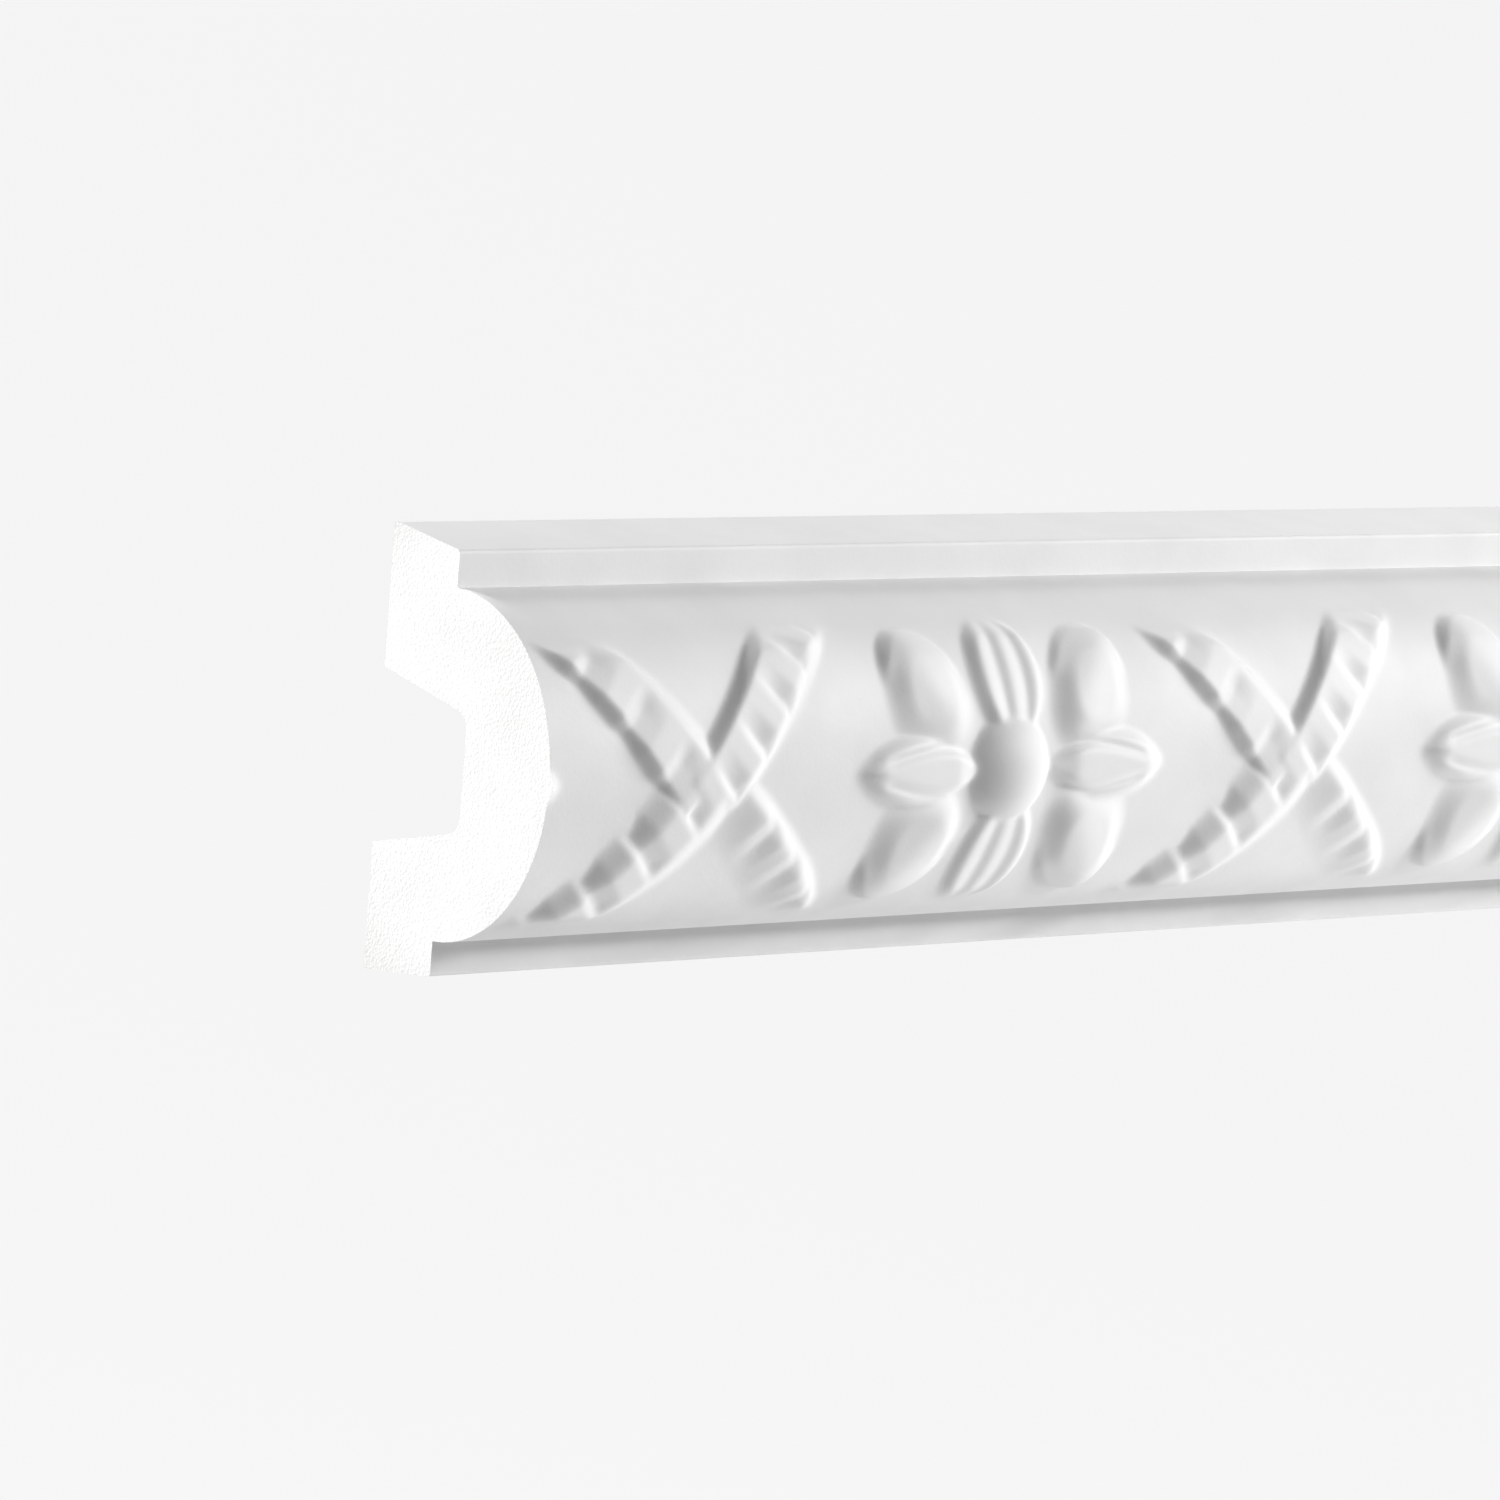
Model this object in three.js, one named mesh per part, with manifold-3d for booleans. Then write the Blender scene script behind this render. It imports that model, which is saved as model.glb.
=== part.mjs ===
// A sawn length of white chair rail moulding, cast in one piece of hard foam. Its front is a
// half-round roll between two plain fillets, carved with crossed ribbons and eight-petalled
// flowers by turns, and its back has two flat glue lands with a wide channel between them.
// Millimetres, +X along the rail, +Z up, front to -Y. The origin is on the wall plane, at the
// middle of the lower glue land.
import * as THREE from "three";
import { mergeVertices } from "three/addons/utils/BufferGeometryUtils.js";
import Module from "manifold-3d";

const wasm = await Module();
wasm.setup();

// Section of the rail, heights above its bottom edge
const railHeight = 60;
const filletDepth = 12.8;
const topLand = 1.3;
const topSlopeDrop = 2.3;
const topFilletHeight = 5;
const bottomSlopeRise = 0.7;
const bottomFilletHeight = 4.8;
const filletRound = 0.7;
const rollProjection = 19.8;

// Channel in the back
const lowerLandHeight = 17.1;
const channelMouth = 23.6;
const channelDepth = 16.4;
const channelUpperFlank = THREE.MathUtils.degToRad(15.5);
const channelLowerFlank = THREE.MathUtils.degToRad(11.4);
const channelRound = 3.4;

// Pattern along the rail, measured from the sawn left end
const patternPitch = 118.5;
const repeats = 2;
const crossingPlace = 31.3;
const crossingDrop = 1.2;
const flowerPlace = 89.4;
const flowerDrop = 0.4;
const railLength = patternPitch * repeats;

// Crossed ribbons. The one below is bent where it passes under the other. Nicks are given by
// the first one's place from the crossing on either side, and by their pitch.
const { smoothstep, degToRad } = THREE.MathUtils;
const ribbonHalfWidth = 5.3;
const ribbonHeight = 1.8;
const ribbonLap = 0.4;
const ribbonWall = 1.1;
const ribbonShoulder = 2.3;
const ribbonRim = 0.35;
const ribbonReach = 23.5;
const ribbonFade = 6;
const overAngle = degToRad(48.5);
const underLeftAngle = degToRad(46);
const underRightAngle = degToRad(40);
const underLeftShift = 2.4;
const ribbonCurl = 0.012;
const curlStart = 22;
const nickDepth = 0.9;
const nickStop = 1.2;
const overNicks = {
  left: 6.2, leftPitch: 8.6, right: 1.4, rightPitch: 7.5, leftFlank: 1.2, rightFlank: 3,
};
const underNicks = {
  left: 8, leftPitch: 9.8, right: 12.2, rightPitch: 8.3, leftFlank: 1.8, rightFlank: 4.6,
};

// Flower: a round boss, two pointed side petals, four broad lobes and two ribbed leaves
const bossRadius = 7.7;
const bossHeight = 4.4;
const bossShift = -0.7;
const petalRoot = 5;
const petalTip = 32.5;
const petalHalfWidth = 5.6;
const petalHeight = 1.7;
const petalWall = 2.9;
const petalTipWall = 4.5;
const petalBluntness = 0.7;
const petalGroove = 0.9;
const petalGrooveShare = 0.5;
const petalGrooveWidth = 0.13;
const petalGrooveStop = 3;
const petalDip = 0.5;
const lobeRoot = 6.2;
const lobeLean = 0.33;
const lobeTip = 25;
const lobeMiddle = 11;
const lobeHalfHeight = 9.8;
const lobeSquareness = 3;
const lobeHeight = 1.5;
const lobeRidge = 0.8;
const lobeRidgeWidth = 5.2;
const lobeRidgeRoot = new THREE.Vector2(12, 5.5);
const lobeRidgeAngle = degToRad(56);
const lobeWall = 4;
const lobeDip = 0.6;
const lowLobeSpread = 1.05;
const leafMiddle = 13.3;
const leafHalfLength = 9.7;
const leafHalfWidth = 7.4;
const leafHeight = 0.5;
const leafRib = 1;
const leafRibWidth = 1.35;
const leafRibShare = 0.64;
const leafWall = 1.2;
const leafFade = 5;

// The petals and lobes dip towards the boss, over this length.
const dipLength = 5;

// How far the carving's patches are rooted in the roll
const rootDepth = 1.2;
const brinkDepth = 0.25;
const brinkRise = 0.8;

// A patch's ends keep this share of its width, so that no end comes to a point.
const leastShare = 0.002;

// Steps of the grids and of the round forms
const weldDistance = 1e-4;
const sectionSteps = 28;
const petalSteps = 11;
const lobeSteps = 9;
const leafSteps = 8;
const crossSteps = 8;
const bossSides = 24;
const bossRings = 6;

// The roll's half ellipse runs from the bottom fillet's top edge to the top fillet's lower edge.
const rollBottom = bottomSlopeRise + bottomFilletHeight;
const rollTop = railHeight - topSlopeDrop - topFilletHeight;
const rollCentre = (rollTop + rollBottom) / 2;
const rollHalfHeight = (rollTop - rollBottom) / 2;
const quarterTurn = Math.PI / 2;
const roll = new THREE.EllipseCurve(
  0, rollCentre, rollProjection, rollHalfHeight, -quarterTurn, quarterTurn,
);
roll.arcLengthDivisions = 400;
const rollGirth = roll.getLength();
const originHeight = lowerLandHeight / 2;

// A place on the roll: along the rail, round the roll from its crown, and out from its surface.
function onRoll(along, round, out) {
  const share = THREE.MathUtils.clamp(0.5 + round / rollGirth, 0, 1);
  const foot = roll.getPointAt(share);
  const upward = roll.getTangentAt(share);
  return new THREE.Vector3(
    along - railLength / 2,
    -(filletDepth + foot.x + upward.y * out),
    foot.y - upward.x * out - originHeight,
  );
}

// A closed geometry as a solid, and a solid as a geometry
function solidOf(geometry) {
  geometry.deleteAttribute("normal");
  geometry.deleteAttribute("uv");
  const merged = mergeVertices(geometry, weldDistance);
  return new wasm.Manifold(
    new wasm.Mesh({
      numProp: 3,
      vertProperties: merged.getAttribute("position").array,
      triVerts: new Uint32Array(merged.index.array),
    }),
  );
}

function geometryOf(solid) {
  const mesh = solid.getMesh();
  const geometry = new THREE.BufferGeometry();
  geometry.setAttribute("position", new THREE.BufferAttribute(mesh.vertProperties, 3));
  geometry.setIndex(new THREE.BufferAttribute(mesh.triVerts, 1));
  geometry.computeVertexNormals();
  return geometry;
}

// Section: the outline that the rail is sawn from, depth from the wall to the right
function cutCorner(shape, before, corner, after, radius) {
  const back = new THREE.Vector2().subVectors(before, corner).normalize();
  const on = new THREE.Vector2().subVectors(after, corner).normalize();
  const half = Math.acos(back.dot(on)) / 2;
  const reach = radius / Math.tan(half);
  const from = corner.clone().addScaledVector(back, reach);
  const to = corner.clone().addScaledVector(on, reach);
  shape.lineTo(from.x, from.y);
  shape.quadraticCurveTo(corner.x, corner.y, to.x, to.y);
}

function railSection() {
  const p = (x, y) => new THREE.Vector2(x, y);
  const lowerMouth = p(0, lowerLandHeight);
  const upperMouth = p(0, lowerLandHeight + channelMouth);
  const floorLow = p(channelDepth, lowerMouth.y + channelDepth * Math.tan(channelLowerFlank));
  const floorHigh = p(channelDepth, upperMouth.y - channelDepth * Math.tan(channelUpperFlank));
  const topFront = p(filletDepth, railHeight - topSlopeDrop);
  const bottomFront = p(filletDepth, bottomSlopeRise);
  const shape = new THREE.Shape();
  shape.moveTo(0, 0);
  cutCorner(shape, p(0, 0), bottomFront, p(filletDepth, rollBottom), filletRound);
  shape.lineTo(filletDepth, rollBottom);
  shape.absellipse(
    filletDepth, rollCentre, rollProjection, rollHalfHeight, -quarterTurn, quarterTurn, false, 0,
  );
  cutCorner(shape, p(filletDepth, rollTop), topFront, p(topLand, railHeight), filletRound);
  shape.lineTo(topLand, railHeight);
  shape.lineTo(0, railHeight);
  shape.lineTo(upperMouth.x, upperMouth.y);
  cutCorner(shape, upperMouth, floorHigh, floorLow, channelRound);
  cutCorner(shape, floorHigh, floorLow, lowerMouth, channelRound);
  shape.lineTo(lowerMouth.x, lowerMouth.y);
  return shape;
}

function plainRail() {
  const geometry = new THREE.ExtrudeGeometry(railSection(), {
    depth: railLength,
    bevelEnabled: false,
    curveSegments: sectionSteps,
  });
  const turn = new THREE.Matrix4().makeBasis(
    new THREE.Vector3(0, -1, 0),
    new THREE.Vector3(0, 0, 1),
    new THREE.Vector3(-1, 0, 0),
  );
  geometry.applyMatrix4(turn);
  geometry.translate(railLength / 2, 0, -originHeight);
  return solidOf(geometry);
}

// Carving: each motif is a patch with its own grid, laid on the roll and rooted in it. A point
// of the grid has a station along the patch and a share of its width, "spot" gives its place
// along the rail and round the roll, and "height" how far it stands out.
const rise = (inside, width) => smoothstep(inside, 0, width);
const swell = (off, width) => Math.exp(-((off / width) ** 2));
const even = (start, end, count) =>
  Array.from({ length: count + 1 }, (_, i) => start + ((end - start) * i) / count);
const dipAt = (off, depth) => 1 - depth * (1 - rise(off - bossRadius, dipLength));

function patch({ stations, shares, spot, height, along, drop }) {
  const columns = stations.length - 1;
  const rows = shares.length - 1;
  const slab = new THREE.BoxGeometry(1, 1, 1, columns, rows, 1);
  const at = slab.getAttribute("position");
  for (let i = 0; i < at.count; i++) {
    const station = stations[Math.round((at.getX(i) + 0.5) * columns)];
    const share = shares[Math.round((at.getY(i) + 0.5) * rows)];
    const [x, round] = spot(station, share);
    const raised = height(station, share, round);
    const brink = brinkDepth * (1 - rise(raised, brinkRise));
    const out = at.getZ(i) > 0 ? raised - brink : -rootDepth;
    const p = onRoll(along + x, round - drop, out);
    at.setXYZ(i, p.x, p.y, p.z);
  }
  return solidOf(slab);
}

// Ribbon: steep on its left, softly shouldered with a rim on its right, and nicked across. A
// left arm's nicks open at its left edge, and a right arm's stop at its rim.
const shoulderStart = ribbonHalfWidth - ribbonShoulder;
const ribbonRows = [
  -ribbonHalfWidth,
  ribbonWall - ribbonHalfWidth,
  -nickStop,
  nickStop,
  shoulderStart,
  shoulderStart + ribbonShoulder / 2,
  ribbonHalfWidth,
];

function nickPlaces(nicks, start, end) {
  const places = [];
  for (let a = -nicks.left; a > start; a -= nicks.leftPitch) places.unshift(a);
  for (let a = nicks.right; a < end; a += nicks.rightPitch) places.push(a);
  return places.filter((a) => a > start && a < end);
}

function ribbon({ along, turn, start, end, full, nicks, offset }) {
  const rightward = -Math.sign(turn);
  const [c, s] = [Math.cos(turn), Math.sin(turn)];
  const places = nickPlaces(nicks, start, end);
  const edges = places.flatMap((a) => [a - nicks.leftFlank, a, a + nicks.rightFlank]);
  const stations = [start, ...edges.filter((a) => a > start && a < end), end];
  const shares = ribbonRows.map((across) => (rightward * across) / ribbonHalfWidth);
  shares.sort((p, q) => p - q);
  const spot = (a, v) => {
    const b = v * ribbonHalfWidth + offset(a);
    return [a * c - b * s, a * s + b * c];
  };
  const nickAt = (a, across) => {
    const offs = places.map((p) => (a < p ? (p - a) / nicks.leftFlank : (a - p) / nicks.rightFlank));
    const cut = nickDepth * Math.max(0, 1 - Math.min(...offs));
    if (a < -nickStop) return cut * (1 - rise(across - nickStop, nickStop));
    return cut * rise(across + ribbonHalfWidth, ribbonHalfWidth) * rise(shoulderStart - across, nickStop);
  };
  const height = (a, v, round) => {
    const across = rightward * v * ribbonHalfWidth;
    const inside = ribbonHalfWidth - across;
    const body = full * rise(ribbonHalfWidth + across, ribbonWall) * rise(inside, ribbonShoulder);
    const rim = ribbonRim * swell(across - shoulderStart, ribbonShoulder / 2);
    return Math.max(0, body + rim - nickAt(a, across)) * rise(ribbonReach - Math.abs(round), ribbonFade);
  };
  return patch({ stations, shares, spot, height, along, drop: crossingDrop });
}

function crossing(along) {
  const arm = (angle) => (ribbonReach + ribbonHalfWidth * Math.cos(angle)) / Math.sin(angle);
  const curl = (a) => -ribbonCurl * Math.max(0, a - curlStart) ** 2;
  return [
    ribbon({
      along, turn: -underLeftAngle, start: -arm(underLeftAngle), end: 0,
      full: ribbonHeight, nicks: underNicks, offset: () => -underLeftShift,
    }),
    ribbon({
      along, turn: -underRightAngle, start: 0, end: arm(underRightAngle),
      full: ribbonHeight, nicks: underNicks, offset: curl,
    }),
    ribbon({
      along, turn: overAngle, start: -arm(overAngle), end: arm(overAngle),
      full: ribbonHeight + ribbonLap, nicks: overNicks, offset: () => 0,
    }),
  ];
}

// Side petal: pointed, with a thin groove on either side of its middle rib
function petal(along, side) {
  const halfLength = (petalTip - petalRoot) / 2;
  const bulge = (a) => Math.max(leastShare, 1 - ((a - petalRoot) / halfLength - 1) ** 2);
  const halfWidth = (a) => petalHalfWidth * bulge(a) ** petalBluntness;
  const spot = (a, v) => [side * a, side * v * halfWidth(a)];
  const height = (a, v) => {
    const body = petalHeight * rise(halfWidth(a) * (1 - Math.abs(v)), petalWall);
    const cut = petalGroove * swell(Math.abs(v) - petalGrooveShare, petalGrooveWidth);
    const groove = cut * rise(petalTip - petalGrooveStop - a, petalTipWall);
    return Math.max(0, body - groove) * dipAt(a, petalDip) * rise(petalTip - a, petalTipWall);
  };
  const stations = even(petalRoot, petalTip, petalSteps);
  return patch({ stations, shares: even(-1, 1, crossSteps), spot, height, along, drop: flowerDrop });
}

// Lobe: a broad tongue with a square outer end and a soft ridge that leans outwards. It
// stands on its inner edge, so its stations run away from the middle line.
function lobe(along, side, upward) {
  const spread = side * (upward > 0 ? 1 : lowLobeSpread);
  const squared = (share) => Math.abs(share) ** lobeSquareness;
  const halfHeightShare = (up) => (up - lobeMiddle) / lobeHalfHeight;
  const fullness = (up) =>
    Math.max(leastShare, 1 - squared(halfHeightShare(up))) ** (1 / lobeSquareness);
  const middleAt = (up) => (lobeTip + lobeRoot + lobeLean * (up - lobeMiddle / 2)) / 2;
  const halfWidthAt = (up) => lobeTip - middleAt(up);
  const outAt = (up, v) => middleAt(up) - side * upward * v * fullness(up) * halfWidthAt(up);
  const spot = (up, v) => [spread * outAt(up, v), upward * up];
  const height = (up, v) => {
    const out = outAt(up, v);
    const off = squared((out - middleAt(up)) / halfWidthAt(up)) + squared(halfHeightShare(up));
    const inside = (1 - off ** (1 / lobeSquareness)) * lobeHalfHeight;
    const fromRoot = new THREE.Vector2(out, up).sub(lobeRidgeRoot);
    const beside = fromRoot.x * Math.sin(lobeRidgeAngle) - fromRoot.y * Math.cos(lobeRidgeAngle);
    const crown = lobeHeight + lobeRidge * swell(beside, lobeRidgeWidth);
    return rise(inside, lobeWall) * crown * dipAt(Math.hypot(out, up), lobeDip);
  };
  const stations = even(lobeMiddle - lobeHalfHeight, lobeMiddle + lobeHalfHeight, lobeSteps);
  return patch({ stations, shares: even(-1, 1, crossSteps), spot, height, along, drop: flowerDrop });
}

// Leaf: three ribs that bow outwards and fade at its tip
function leaf(along, upward) {
  const lengthShare = (a) => (a - leafMiddle) / leafHalfLength;
  const halfWidth = (a) => leafHalfWidth * Math.sqrt(Math.max(leastShare, 1 - lengthShare(a) ** 2));
  const tip = leafMiddle + leafHalfLength;
  const spot = (a, v) => [-upward * v * halfWidth(a), upward * a];
  const height = (a, v) => {
    const off = Math.min(Math.abs(v), Math.abs(Math.abs(v) - leafRibShare)) * halfWidth(a);
    const ribbed = leafHeight + leafRib * swell(off, leafRibWidth);
    return rise(halfWidth(a) * (1 - Math.abs(v)), leafWall) * ribbed * rise(tip - a, leafFade);
  };
  const ribEdge = leafRibWidth / leafHalfWidth;
  const ribShares = [-leafRibShare, 0, leafRibShare];
  const ribRows = ribShares.flatMap((share) => [share - ribEdge, share, share + ribEdge]);
  const stations = even(bossRadius - rootDepth, tip, leafSteps);
  return patch({ stations, shares: [-1, ...ribRows, 1], spot, height, along, drop: flowerDrop });
}

// Boss: a flattened half ball
function boss(along) {
  const profile = [new THREE.Vector2(0, -rootDepth), new THREE.Vector2(bossRadius, -rootDepth)];
  for (const lean of even(0, quarterTurn, bossRings).slice(0, -1)) {
    profile.push(new THREE.Vector2(bossRadius * Math.cos(lean), bossHeight * Math.sin(lean)));
  }
  profile.push(new THREE.Vector2(0, bossHeight));
  const dome = new THREE.LatheGeometry(profile, bossSides);
  const at = dome.getAttribute("position");
  for (let i = 0; i < at.count; i++) {
    const p = onRoll(along + bossShift + at.getX(i), -flowerDrop - at.getZ(i), at.getY(i));
    at.setXYZ(i, p.x, p.y, p.z);
  }
  return solidOf(dome);
}

function flower(along) {
  const sides = [1, -1];
  return [
    ...sides.map((side) => petal(along, side)),
    ...sides.flatMap((side) => sides.map((upward) => lobe(along, side, upward))),
    ...sides.map((upward) => leaf(along, upward)),
    boss(along),
  ];
}

// The pattern runs on past both ends and is sawn off square with the rail.
function carvedRail() {
  const carving = [];
  for (let k = -1; k <= repeats; k++) {
    carving.push(...crossing(crossingPlace + k * patternPitch));
    carving.push(...flower(flowerPlace + k * patternPitch));
  }
  const sawReach = 2 * (railHeight + filletDepth + rollProjection);
  const sawn = solidOf(new THREE.BoxGeometry(railLength, sawReach, sawReach));
  const within = carving.map((piece) => piece.intersect(sawn)).filter((piece) => piece.volume() > 0);
  return within.reduce((rail, piece) => rail.add(piece), plainRail());
}

const primedWhite = new THREE.MeshStandardMaterial({
  color: 0xe9e9e8,
  roughness: 0.6,
  metalness: 0,
});

const rail = new THREE.Group();
const moulding = new THREE.Mesh(geometryOf(carvedRail()), primedWhite);
moulding.name = "carved_rail";
rail.add(moulding);

export default rail;
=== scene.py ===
"""A sawn length of white carved chair rail, under soft studio light, for Blender 4.5."""
import math

import bmesh
import bpy
import numpy as np
from mathutils import Matrix, Vector


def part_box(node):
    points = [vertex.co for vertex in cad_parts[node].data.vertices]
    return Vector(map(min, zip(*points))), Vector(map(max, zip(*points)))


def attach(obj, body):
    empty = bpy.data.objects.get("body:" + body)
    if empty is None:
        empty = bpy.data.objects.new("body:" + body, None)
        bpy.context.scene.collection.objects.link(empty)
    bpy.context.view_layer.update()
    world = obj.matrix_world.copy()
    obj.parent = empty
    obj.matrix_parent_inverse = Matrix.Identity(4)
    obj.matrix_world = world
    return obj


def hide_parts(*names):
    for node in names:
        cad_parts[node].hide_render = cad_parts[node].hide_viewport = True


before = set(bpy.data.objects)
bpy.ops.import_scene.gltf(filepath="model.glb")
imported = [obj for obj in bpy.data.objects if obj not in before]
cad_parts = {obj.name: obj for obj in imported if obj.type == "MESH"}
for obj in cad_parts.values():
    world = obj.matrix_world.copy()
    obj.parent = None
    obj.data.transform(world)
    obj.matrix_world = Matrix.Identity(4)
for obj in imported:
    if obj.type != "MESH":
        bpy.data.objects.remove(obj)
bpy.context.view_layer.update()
scene = bpy.context.scene
scene.view_settings.view_transform = "Standard"
mm = 0.001

# Camera. A long lens looks at the rail from its left end and from a little above, and is
# rolled by a few degrees, so that the rail seems to lean as it does in the photograph.
camera_place = Vector((-0.9400, -0.8619, 0.1584))
camera_azimuth = math.radians(46.0)
camera_dip = math.radians(6.4185)
camera_roll = math.radians(4.2857)
camera_lens = 215.54

level_right = Vector((math.cos(camera_azimuth), -math.sin(camera_azimuth), 0.0))
forward = Vector((
    math.sin(camera_azimuth) * math.cos(camera_dip),
    math.cos(camera_azimuth) * math.cos(camera_dip),
    -math.sin(camera_dip),
))
level_up = level_right.cross(forward)
right = level_right * math.cos(camera_roll) + level_up * math.sin(camera_roll)
up = level_up * math.cos(camera_roll) - level_right * math.sin(camera_roll)
camera_data = bpy.data.cameras.new("camera")
camera_data.lens = camera_lens
camera = bpy.data.objects.new("camera", camera_data)
turn = Matrix((right, up, -forward)).transposed().to_4x4()
camera.matrix_world = Matrix.Translation(camera_place) @ turn
scene.collection.objects.link(camera)
scene.camera = camera

# The rail. The real one is cast whole from dense white foam in a carved mould, primed white
# and sawn square at both ends. It is a half-round roll between two fillets, with glue lands
# and a cable channel behind.
rail_low, rail_high = (Vector(corner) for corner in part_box("carved_rail"))
rail_length = rail_high.x - rail_low.x
fillet_depth = 12.8 * mm
top_land = 1.3 * mm
top_slope_drop = 2.3 * mm
top_fillet_height = 5.0 * mm
bottom_slope_rise = 0.7 * mm
bottom_fillet_height = 4.8 * mm
fillet_round = 0.7 * mm
roll_projection = 19.8 * mm
lower_land_height = 17.1 * mm
channel_mouth = 23.6 * mm
channel_depth = 16.4 * mm
channel_upper_flank = math.radians(15.5)
channel_lower_flank = math.radians(11.4)
channel_round = 3.0 * mm

roll_low = rail_low.z + bottom_slope_rise + bottom_fillet_height
roll_high = rail_high.z - top_slope_drop - top_fillet_height
roll_middle = (roll_low + roll_high) / 2
roll_half_height = (roll_high - roll_low) / 2

# Round the roll, the places are measured as a length from its crown, upwards positive.
roll_steps = 2000
lean = np.linspace(-math.pi / 2, math.pi / 2, roll_steps + 1)
roll_depths = fillet_depth + roll_projection * np.cos(lean)
roll_heights = roll_middle + roll_half_height * np.sin(lean)
strides = np.hypot(np.diff(roll_depths), np.diff(roll_heights))
girths = np.concatenate([[0.0], np.cumsum(strides)])
girths -= girths[-1] / 2
roll_reach = girths[-1]

pattern_pitch = 118.5 * mm
crossing_place = 31.3 * mm
crossing_drop = 1.2 * mm
flower_place = 89.4 * mm
flower_drop = 0.4 * mm
repeats = 2
saw_to_saw = repeats * pattern_pitch


def rise(inside, width):
    """How far a wall has risen, from 0 at its foot to 1, at a distance inside its edge."""
    share = np.clip(inside / width, 0.0, 1.0)
    return share * share * (3.0 - 2.0 * share)


def swell(off, width):
    """A soft round swelling, 1 at its middle, as wide as width says."""
    return np.exp(-((off / width) ** 2))


# Ribbons. They are cast with the roll, in the same foam, as two bands that cross. A band is
# steep on its left and falls softly to a shoulder on its right, with nicks across it. The lower
# one bends where it passes under the other. Each arm has its own form.
ribbon_half_width = 5.8 * mm
ribbon_height = 1.65 * mm
ribbon_lap = 0.2 * mm
ribbon_wall = 1.5 * mm
ribbon_soft_wall = 5.0 * mm
ribbon_faint_wall = 9.5 * mm
ribbon_shoulder = 3.3 * mm
ribbon_soft_shoulder = 5.5 * mm
ribbon_core = 3.2 * mm
under_dip = 0.7
under_dip_length = 8.0 * mm
ribbon_reach = 23.5 * mm
ribbon_fade = 6.0 * mm
ribbon_curl = 0.012 / mm
curl_start = 22.0 * mm
over_angle = math.radians(48.5)
under_left_angle = math.radians(46.0)
under_right_angle = math.radians(40.0)
under_left_shift = 2.4 * mm
nick_stop = 1.2 * mm
nick_taper = 4.0 * mm
over_left = {
    "foot": 3.2 * mm, "wall": ribbon_soft_wall, "shoulder": ribbon_soft_shoulder,
    "nick": 6.2 * mm, "pitch": 8.6 * mm, "depth": 0.85 * mm, "flanks": (1.2 * mm, 3.4 * mm),
}
over_right = {
    "foot": 0.0, "wall": ribbon_wall, "shoulder": ribbon_shoulder,
    "nick": 1.2 * mm, "pitch": 7.4 * mm, "depth": 0.9 * mm, "flanks": (1.2 * mm, 3.0 * mm),
}
under_left = {
    "foot": 0.0, "wall": ribbon_wall, "shoulder": ribbon_shoulder,
    "nick": 8.0 * mm, "pitch": 9.8 * mm, "depth": 0.7 * mm, "flanks": (2.0 * mm, 4.0 * mm),
}
under_right = {
    "foot": 0.0, "wall": ribbon_faint_wall, "shoulder": ribbon_shoulder,
    "nick": 12.8 * mm, "pitch": 8.3 * mm, "depth": 0.6 * mm, "flanks": (2.6 * mm, 2.8 * mm),
}


def arm(out, across, height, form, side):
    """One arm of a ribbon, side 1 for a right arm and -1 for a left one.

    Its wall starts a foot's width outside its left edge. The first nick is the nick's length
    from the crossing, and the others follow at the pitch. Each nick falls by its depth over its
    two flanks. A left arm's nicks open at its left edge, and a right arm's stop at its shoulder.
    """
    inside = ribbon_half_width - across
    wall = rise(ribbon_half_width + form["foot"] + across, form["wall"])
    body = height * wall * rise(inside, form["shoulder"])
    count = np.maximum(np.round((side * out - form["nick"]) / form["pitch"]), 0.0)
    off = out - side * (form["nick"] + form["pitch"] * count)
    before, after = form["flanks"]
    cut = form["depth"] * np.clip(1.0 - np.maximum(-off / before, off / after), 0.0, 1.0)
    if side < 0:
        span = 1.0 - rise(across + nick_stop, nick_taper)
    else:
        span = rise(across + ribbon_half_width - nick_stop, ribbon_half_width)
        span = span * rise(inside - ribbon_shoulder / 2, nick_stop)
    return np.clip(body - cut * span, 0.0, None)


def turned(along, round_, angle):
    """A place as its distance out along a slanting ribbon, and across it from its middle."""
    c, s = math.cos(angle), math.sin(angle)
    return along * c + round_ * s, along * s - round_ * c


def crossing(along, round_):
    """Two ribbons that cross, the upper one rising to the right."""
    out, across = turned(along, round_, over_angle)
    full = ribbon_height + ribbon_lap
    left = arm(out, across, full, over_left, -1)
    right = arm(out, across, full, over_right, 1)
    over = left + (right - left) * rise(out + nick_stop, 2 * nick_stop)

    under_out, bent = turned(along, -round_, under_left_angle)
    left = arm(under_out, bent + under_left_shift, ribbon_height, under_left, -1)
    left = left * rise(ribbon_reach - nick_stop - round_, ribbon_fade)
    under_out, bent = turned(along, -round_, under_right_angle)
    curl = ribbon_curl * np.clip(under_out - curl_start, 0.0, None) ** 2
    right = arm(under_out, bent + curl, ribbon_height, under_right, 1)
    from_shoulder = across - ribbon_half_width + ribbon_shoulder
    right = right * (1.0 - under_dip * (1.0 - rise(from_shoulder, under_dip_length)))
    under = np.where(across < 0, left, right)
    under = under * (1.0 - rise(ribbon_half_width - np.abs(across) - ribbon_core, nick_stop))
    return np.maximum(under, over) * rise(ribbon_reach - np.abs(round_), ribbon_fade)


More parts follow.
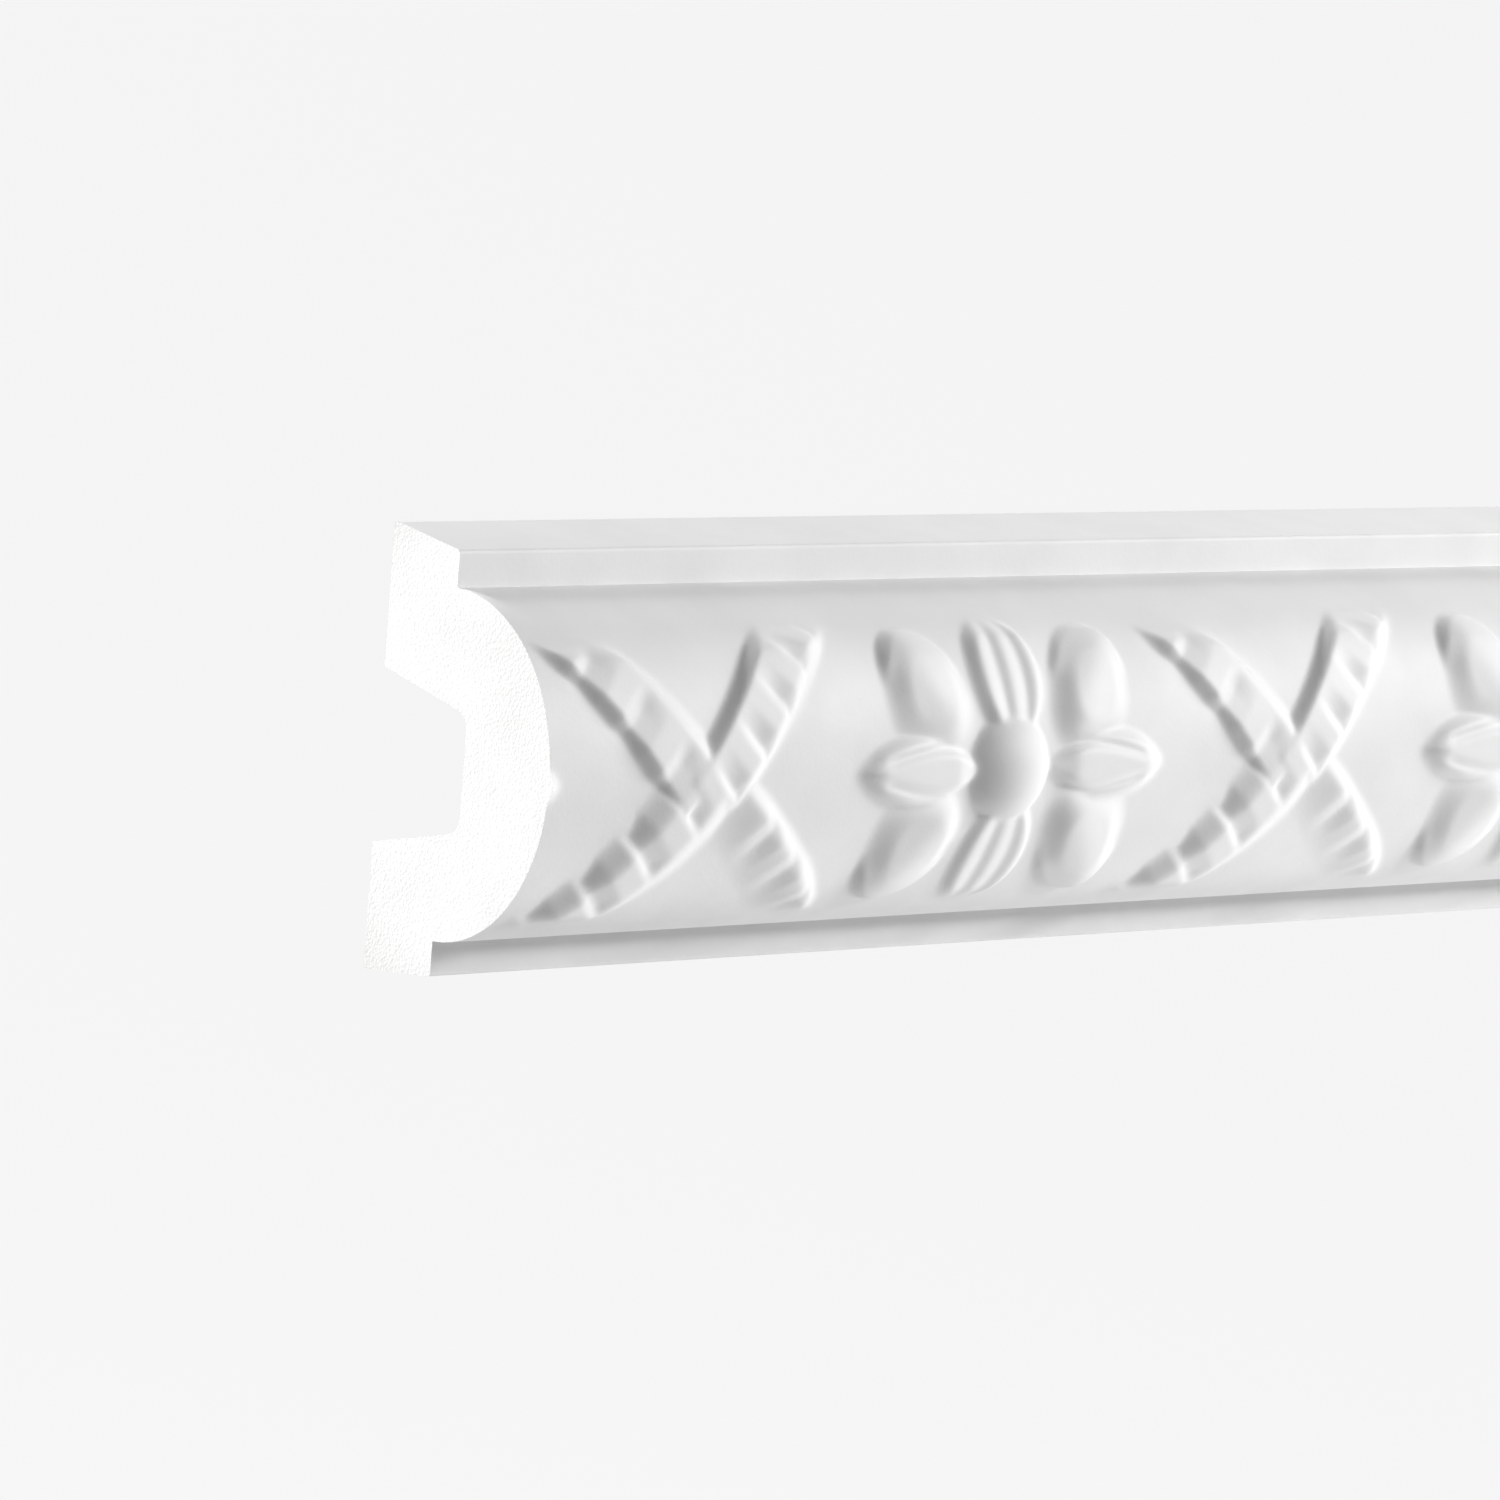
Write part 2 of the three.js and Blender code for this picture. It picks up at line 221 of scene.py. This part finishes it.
# Flower. It is cast with the roll too: a round boss amid two pointed side petals, four broad lobes
# and two ribbed leaves. The petals and lobes dip towards the boss.
boss_shift = -0.7 * mm
boss_radius = 7.7 * mm
boss_height = 3.6 * mm
boss_dome = 0.75
petal_root = 5.0 * mm
petal_tip = 32.5 * mm
petal_half_width = 5.7 * mm
petal_bluntness = 0.85
petal_end_share = 0.999
petal_height = 1.8 * mm
petal_wall = 2.6 * mm
petal_tip_wall = 6.5 * mm
petal_groove = 0.85 * mm
petal_groove_width = 0.55 * mm
petal_groove_root = 0.8
petal_groove_taper = 0.6
petal_groove_stop = 2.0 * mm
petal_dip = 0.5
lobe_root = 6.2 * mm
lobe_lean = 0.33
lobe_tip = 25.0 * mm
lobe_middle = 11.0 * mm
lobe_half_height = 9.8 * mm
lobe_squareness = 2.4
lobe_height = 1.15 * mm
lobe_ridge = 0.95 * mm
lobe_ridge_width = 4.4 * mm
lobe_wall = 5.5 * mm
lobe_top_wall = 1.5 * mm
lobe_top_share = 0.6
lobe_dip = 0.6
lobe_ridge_root = (12.0 * mm, 5.5 * mm)
lobe_ridge_angle = math.radians(56.0)
low_lobe_spread = 1.05
low_leaf_share = 0.75
leaf_middle = 13.3 * mm
leaf_half_length = 9.7 * mm
leaf_half_width = 7.4 * mm
leaf_height = 0.7 * mm
leaf_rib = 0.6 * mm
leaf_rib_left = 1.4 * mm
leaf_rib_right = 2.1 * mm
leaf_rib_share = 0.64
leaf_wall = 2.0 * mm
leaf_fade = 5.0 * mm
dip_length = 5.0 * mm


def dip(off, depth):
    """The share of its height that a form keeps near the boss."""
    return 1.0 - depth * (1.0 - rise(off - boss_radius, dip_length))


def petal(out, across):
    """A side petal, with a groove on either side of its middle."""
    half_length = (petal_tip - petal_root) / 2
    place = (out - petal_root) / half_length - 1.0
    place = np.clip(place, -petal_end_share, petal_end_share)
    bulge = 1.0 - place * place
    half_width = petal_half_width * bulge ** petal_bluntness
    edge_slope = 2 * petal_bluntness * np.abs(place) * half_width / bulge / half_length
    inside = (half_width - np.abs(across)) / np.hypot(1.0, edge_slope)
    inside = np.where(np.abs(out - petal_root - half_length) < half_length, inside, 0.0)
    body = petal_height * rise(inside, petal_wall)
    groove_share = petal_groove_root - petal_groove_taper * (out - petal_root) / (2 * half_length)
    groove = petal_groove * swell(np.abs(across) - groove_share * half_width, petal_groove_width)
    groove = groove * rise(petal_tip - petal_groove_stop - out, petal_tip_wall)
    height = np.clip(body - groove, 0.0, None) * dip(out, petal_dip)
    return height * rise(petal_tip - out, petal_tip_wall)


def lobe(out, up):
    """One lobe, seen as if it were the upper right one."""
    root = lobe_root + lobe_lean * (up - lobe_middle / 2)
    half_width = (lobe_tip - root) / 2
    x = np.abs(out - root - half_width) / half_width
    y = np.abs(up - lobe_middle) / lobe_half_height
    off = (x ** lobe_squareness + y ** lobe_squareness) ** (1 / lobe_squareness)
    inside = (1.0 - off) * lobe_half_height
    c, s = math.cos(lobe_ridge_angle), math.sin(lobe_ridge_angle)
    beside = (out - lobe_ridge_root[0]) * s - (up - lobe_ridge_root[1]) * c
    crown = lobe_height + lobe_ridge * swell(beside, lobe_ridge_width)
    steep = lobe_top_share * rise(up - lobe_middle, lobe_half_height / 2)
    wall = steep * rise(inside, lobe_top_wall) + (1.0 - steep) * rise(inside, lobe_wall)
    return wall * crown * dip(np.hypot(out, up), lobe_dip)


def leaf(up, across):
    """The leaf above the boss, with three ribs."""
    place = np.clip(np.abs((up - leaf_middle) / leaf_half_length), 0.0, 1.0)
    half_width = leaf_half_width * np.sqrt(1.0 - place * place)
    ribs = np.zeros_like(across)
    for share in (-leaf_rib_share, 0.0, leaf_rib_share):
        off = across - share * half_width
        ribs = np.maximum(ribs, swell(off, np.where(off < 0, leaf_rib_left, leaf_rib_right)))
    height = leaf_height + leaf_rib * ribs
    inside = half_width - np.abs(across)
    return rise(inside, leaf_wall) * height * rise(leaf_middle + leaf_half_length - up, leaf_fade)


def boss(along, round_):
    """The round boss in the flower's middle."""
    off = np.hypot(along - boss_shift, round_) / boss_radius
    return boss_height * np.clip(1.0 - off * off, 0.0, 1.0) ** boss_dome


def flower(along, round_):
    """The whole flower. Its left and lower forms mirror the right and upper ones."""
    out, up = np.abs(along), np.abs(round_)
    spread = np.where(round_ < 0, low_lobe_spread, 1.0)
    height = np.maximum(petal(out, up), lobe(out / spread, up))
    leaves = leaf(up, along) * np.where(round_ < 0, low_leaf_share, 1.0)
    height = np.maximum(height, leaves)
    return np.maximum(height, boss(along, round_))


def carving(along, round_):
    """How far the carving stands out of the plain roll, along the rail and round the roll."""
    height = np.zeros_like(along)
    for k in range(-1, repeats + 1):
        x = along - crossing_place - k * pattern_pitch
        height = np.maximum(height, crossing(x, round_ + crossing_drop))
        x = along - flower_place - k * pattern_pitch
        height = np.maximum(height, flower(x, round_ + flower_drop))
    return height


# The carved roll. Its face is cast and then primed, which softens the carving. It is a fine
# grid, closest-meshed where the carving is, bent round the roll and raised by the carving.
primer_coats = 2
primer_spread = 0.25
carved_half_girth = 23.5 * mm
carved_rows = 128
plain_rows = 5
rail_columns = 640


def primed(height):
    """The relief softened by its coats of primer."""
    own_share = 1 - 2 * primer_spread
    for coat in range(primer_coats):
        for axis in (0, 1):
            rims = [(1, 1), (0, 0)] if axis == 0 else [(0, 0), (1, 1)]
            edged = np.pad(height, rims, mode="edge")
            before, after = np.roll(edged, 1, axis), np.roll(edged, -1, axis)
            mixed = primer_spread * before + own_share * edged + primer_spread * after
            height = mixed[1:-1, :] if axis == 0 else mixed[:, 1:-1]
    return height


band = np.linspace(-carved_half_girth, carved_half_girth, carved_rows + 1) - crossing_drop
below = np.linspace(-roll_reach, band[0], plain_rows + 1)[:-1]
above = np.linspace(band[-1], roll_reach, plain_rows + 1)[1:]
rows = np.concatenate([below, band, above])
columns = np.linspace(0.0, rail_length, rail_columns + 1)
along, round_ = np.meshgrid(columns, rows)
height = primed(carving(along * saw_to_saw / rail_length, round_))
depth = np.interp(round_, girths, roll_depths)
level = np.interp(round_, girths, roll_heights)
slope = np.interp(round_, girths, lean)
face_out = np.cos(slope) / roll_projection
face_up = np.sin(slope) / roll_half_height
size = np.hypot(face_out, face_up)
spots = np.stack([
    rail_low.x + along,
    -(depth + height * face_out / size),
    level + height * face_up / size,
], axis=-1).reshape(-1, 3)

bm = bmesh.new()
bmesh.ops.create_grid(bm, x_segments=rail_columns, y_segments=len(rows) - 1, size=0.5)
bm.verts.ensure_lookup_table()
for vert, spot in zip(bm.verts, spots):
    vert.co = spot

# Fillets and back. They come out of the same mould as the roll: a fillet above it and one below,
# and behind them two glue lands with the cable channel between. Their section runs from the
# roll's upper edge round to its lower one.
fillet_steps = 5
channel_steps = 8
coarse_step = 8


def corner_arc(before, corner, after, radius, steps):
    """Points of a round laid in the corner of the section, as depth and height."""
    to_before = (before - corner).normalized()
    to_after = (after - corner).normalized()
    reach = radius / math.tan(math.acos(to_before.dot(to_after)) / 2)
    start, end = corner + to_before * reach, corner + to_after * reach
    shares = [k / steps for k in range(steps + 1)]
    return [start * (1 - k) ** 2 + corner * 2 * k * (1 - k) + end * k * k for k in shares]


roll_top = Vector((fillet_depth, roll_high))
roll_foot = Vector((fillet_depth, roll_low))
top_front = Vector((fillet_depth, rail_high.z - top_slope_drop))
top_middle = Vector((top_land, rail_high.z))
top_back = Vector((0.0, rail_high.z))
upper_mouth = Vector((0.0, rail_low.z + lower_land_height + channel_mouth))
lower_mouth = Vector((0.0, rail_low.z + lower_land_height))
floor_high = Vector((channel_depth, upper_mouth.y - channel_depth * math.tan(channel_upper_flank)))
floor_low = Vector((channel_depth, lower_mouth.y + channel_depth * math.tan(channel_lower_flank)))
bottom_back = Vector((0.0, rail_low.z))
bottom_front = Vector((fillet_depth, rail_low.z + bottom_slope_rise))
section = [
    *corner_arc(roll_top, top_front, top_middle, fillet_round, fillet_steps),
    top_middle,
    top_back,
    upper_mouth,
    *corner_arc(upper_mouth, floor_high, floor_low, channel_round, channel_steps),
    *corner_arc(floor_high, floor_low, lower_mouth, channel_round, channel_steps),
    lower_mouth,
    bottom_back,
    *corner_arc(bottom_back, bottom_front, roll_foot, fillet_round, fillet_steps),
]

# The section is drawn out strip by strip, on every eighth column, and joined to the roll's
# lower edge. Flat faces close the sawn ends.
top_start = (len(rows) - 1) * (rail_columns + 1)
top_verts = [bm.verts[top_start + k] for k in range(rail_columns + 1)]
strip_edges = [bm.edges.get(pair) for pair in zip(top_verts, top_verts[1:])]
for number, spot in enumerate(section):
    made = bmesh.ops.extrude_edge_only(bm, edges=strip_edges)["geom"]
    verts = sorted((g for g in made if isinstance(g, bmesh.types.BMVert)), key=lambda v: v.co.x)
    for vert in verts:
        vert.co.y = -spot.x
        vert.co.z = spot.y
    if number == 0:
        bmesh.ops.dissolve_verts(bm, verts=[v for k, v in enumerate(verts) if k % coarse_step])
        verts = [v for v in verts if v.is_valid]
    strip_edges = [bm.edges.get(pair) for pair in zip(verts, verts[1:])]

bottom_new = verts
hair = 0.001 * mm
open_verts = set()
for edge in bm.edges:
    start, end = edge.verts
    if edge.is_boundary and abs(start.co.x - end.co.x) > hair:
        open_verts.update((start, end))
bottom_old = sorted(open_verts - set(bottom_new), key=lambda v: v.co.x)
for k in range(len(bottom_new) - 1):
    fine = bottom_old[k * coarse_step:(k + 1) * coarse_step + 1]
    bm.faces.new([bottom_new[k], *fine, bottom_new[k + 1]])
for x in (rail_low.x, rail_high.x):
    end_edges = [e for e in bm.edges if e.is_boundary and abs(e.verts[0].co.x - x) < hair]
    bmesh.ops.contextual_create(bm, geom=end_edges)
bmesh.ops.recalc_face_normals(bm, faces=bm.faces)
sharp_angle = math.radians(38.0)
for edge in bm.edges:
    edge.smooth = edge.calc_face_angle(math.pi) < sharp_angle
for face in bm.faces:
    face.smooth = True
mesh = bpy.data.meshes.new("cast_rail")
bm.to_mesh(mesh)
bm.free()
rail = bpy.data.objects.new("cast_rail", mesh)
scene.collection.objects.link(rail)

# Finishes. White primer covers the casting: smooth, faintly mottled and with the slight peel of a
# sprayed coat. It is rougher on the back and in the cable channel, and a darker grey there as
# painted shade, which keeps the back from washing out under the light from behind. The saw has
# opened the foam's cells at both ends.
primer_shades = (0.795, 0.795, 0.792, 1.0), (0.755, 0.755, 0.754, 1.0)
primer_roughness = 0.68, 0.55
# The back's two shades are darker than the primer's as painted shade; only their mottle and the
# coarser grain are the back's own.
back_shades_with_painted_shade = (0.72, 0.718, 0.71, 1.0), (0.65, 0.648, 0.64, 1.0)
back_roughness = 0.8, 0.65
foam_shades = (0.88, 0.878, 0.87, 1.0), (0.82, 0.818, 0.805, 1.0)
foam_roughness = 0.9, 0.8
mottle_size = 14 * mm
mottle_detail = 5.0
mottle_limits = 0.35, 0.65
peel_size = 0.6 * mm
peel_depth = 0.015 * mm
skin_grain_size = 2.4 * mm
skin_grain_depth = 0.15 * mm
cell_size = 0.45 * mm
cell_depth = 0.06 * mm


def finish_of(name, shades, roughness, grain, grain_size, grain_depth):
    """A matt finish: its tone drifts between two shades, and its grain is a fine bump."""
    pale, grey = shades
    roughest, smoothest = roughness
    finish = bpy.data.materials.new(name)
    finish.use_nodes = True
    nodes, links = finish.node_tree.nodes, finish.node_tree.links
    shader = nodes["Principled BSDF"]
    places = nodes.new("ShaderNodeTexCoord").outputs["Object"]
    mottle = nodes.new("ShaderNodeTexNoise")
    mottle.inputs["Scale"].default_value = 1 / mottle_size
    mottle.inputs["Detail"].default_value = mottle_detail
    links.new(places, mottle.inputs["Vector"])
    tone = nodes.new("ShaderNodeValToRGB")
    for stop, limit, shade in zip(tone.color_ramp.elements, mottle_limits, (grey, pale)):
        stop.position = limit
        stop.color = shade
    links.new(mottle.outputs["Fac"], tone.inputs["Fac"])
    links.new(tone.outputs["Color"], shader.inputs["Base Color"])
    gloss = nodes.new("ShaderNodeMapRange")
    gloss.inputs["To Min"].default_value = roughest
    gloss.inputs["To Max"].default_value = smoothest
    links.new(mottle.outputs["Fac"], gloss.inputs["Value"])
    links.new(gloss.outputs["Result"], shader.inputs["Roughness"])
    texture = nodes.new(grain)
    texture.inputs["Scale"].default_value = 1 / grain_size
    links.new(places, texture.inputs["Vector"])
    bump = nodes.new("ShaderNodeBump")
    bump.inputs["Strength"].default_value = 1.0
    bump.inputs["Distance"].default_value = grain_depth
    links.new(texture.outputs[0], bump.inputs["Height"])
    links.new(bump.outputs["Normal"], shader.inputs["Normal"])
    return finish


noise, cells = "ShaderNodeTexNoise", "ShaderNodeTexVoronoi"
mesh.materials.append(
    finish_of("white_primer", primer_shades, primer_roughness, noise, peel_size, peel_depth))
mesh.materials.append(
    # The back and the channel get the darker finish, whose grey is painted shade.
    finish_of("back_skin_painted_shade", back_shades_with_painted_shade, back_roughness, noise, skin_grain_size, skin_grain_depth))
mesh.materials.append(
    finish_of("sawn_foam", foam_shades, foam_roughness, cells, cell_size, cell_depth))
back_slot, sawn_slot = 1, 2
square_on = 0.99
for polygon in mesh.polygons:
    place, facing = polygon.center, polygon.normal
    in_channel = lower_mouth.y < place.z < upper_mouth.y and place.y > -fillet_depth
    if abs(facing.x) > square_on:
        polygon.material_index = sawn_slot
    elif facing.y > square_on or in_channel:
        polygon.material_index = back_slot

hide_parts("carved_rail")
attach(rail, "root")

# The studio floor is a broad pale sheet, well below the rail. A grey cloth lies on it in front
# of the rail, and two large black ones at the photographer's feet, which keep the carving's
# left sides dark.
floor_drop = 0.95
sheet_roughness = 0.9


def floor_sheet(name, half_size, middle, tone, glow):
    """A flat sheet, its size and place given as multiples of the floor's drop."""
    sheet_mesh = bpy.data.meshes.new(name)
    bm = bmesh.new()
    bmesh.ops.create_grid(bm, x_segments=2, y_segments=2, size=half_size * floor_drop)
    bmesh.ops.translate(bm, verts=bm.verts, vec=Vector(middle) * floor_drop)
    bm.to_mesh(sheet_mesh)
    bm.free()
    sheet = bpy.data.objects.new(name, sheet_mesh)
    scene.collection.objects.link(sheet)
    cover = bpy.data.materials.new(name)
    cover.use_nodes = True
    inputs = cover.node_tree.nodes["Principled BSDF"].inputs
    inputs["Base Color"].default_value = (tone, tone, tone, 1.0)
    inputs["Roughness"].default_value = sheet_roughness
    inputs["Emission Color"].default_value = (1.0, 1.0, 1.0, 1.0)
    inputs["Emission Strength"].default_value = glow
    sheet_mesh.materials.append(cover)


floor_sheet("studio_floor", half_size=250.0, middle=(0.0, 0.0, -1.0), tone=0.9, glow=0.27)
floor_sheet("grey_cloth", half_size=2.5, middle=(-0.67, -1.0, -0.985), tone=0.58, glow=0.05)
floor_sheet("dark_left", half_size=25.0, middle=(-25.83, -23.5, -0.97), tone=0.03, glow=0.0)
floor_sheet("dark_front", half_size=25.0, middle=(24.0, -28.33, -0.97), tone=0.03, glow=0.0)

# Studio light: a pale surround, a broad light from above and behind, a wide soft key from the
# right, a narrow lamp on the sawn end, and a small one below.
surround_strength = 0.25
world = bpy.data.worlds.new("studio")
scene.world = world
world.use_nodes = True
surround = world.node_tree.nodes["Background"].inputs
surround["Color"].default_value = (1.0, 1.0, 1.0, 1.0)
surround["Strength"].default_value = surround_strength


def lamp_towards(name, kind, place, aim, energy):
    """A lamp of the given kind at a place, turned to its aim."""
    data = bpy.data.lights.new(name, kind)
    data.energy = energy
    lamp = bpy.data.objects.new(name, data)
    lamp.location = place
    lamp.rotation_euler = (Vector(aim) - Vector(place)).to_track_quat("-Z", "Y").to_euler()
    scene.collection.objects.link(lamp)
    return data


overhead = lamp_towards(
    "overhead", "SUN", place=(-0.3, 1.0, 0.8), aim=(0.0, 0.0, 0.0), energy=2.4)
overhead.angle = math.radians(18.0)
key = lamp_towards(
    "key", "AREA", place=(1.18, -0.97, 0.6), aim=(0.0, -0.03, 0.02), energy=29.0)
key.shape = "RECTANGLE"
key.size = 1.2
key.size_y = 0.18
end_lamp = lamp_towards(
    "end_lamp", "SPOT", place=(-0.9, 0.5, 0.15), aim=(-0.1285, -0.022, 0.021), energy=31.0)
end_lamp.spot_size = math.radians(7.0)
end_lamp.spot_blend = 0.5
end_lamp.shadow_soft_size = 0.02
low_lamp = lamp_towards(
    "low_lamp", "AREA", place=(0.35, -0.12, -0.5), aim=(0.0, -0.02, 0.0), energy=1.4)
low_lamp.shape = "DISK"
low_lamp.size = 0.3
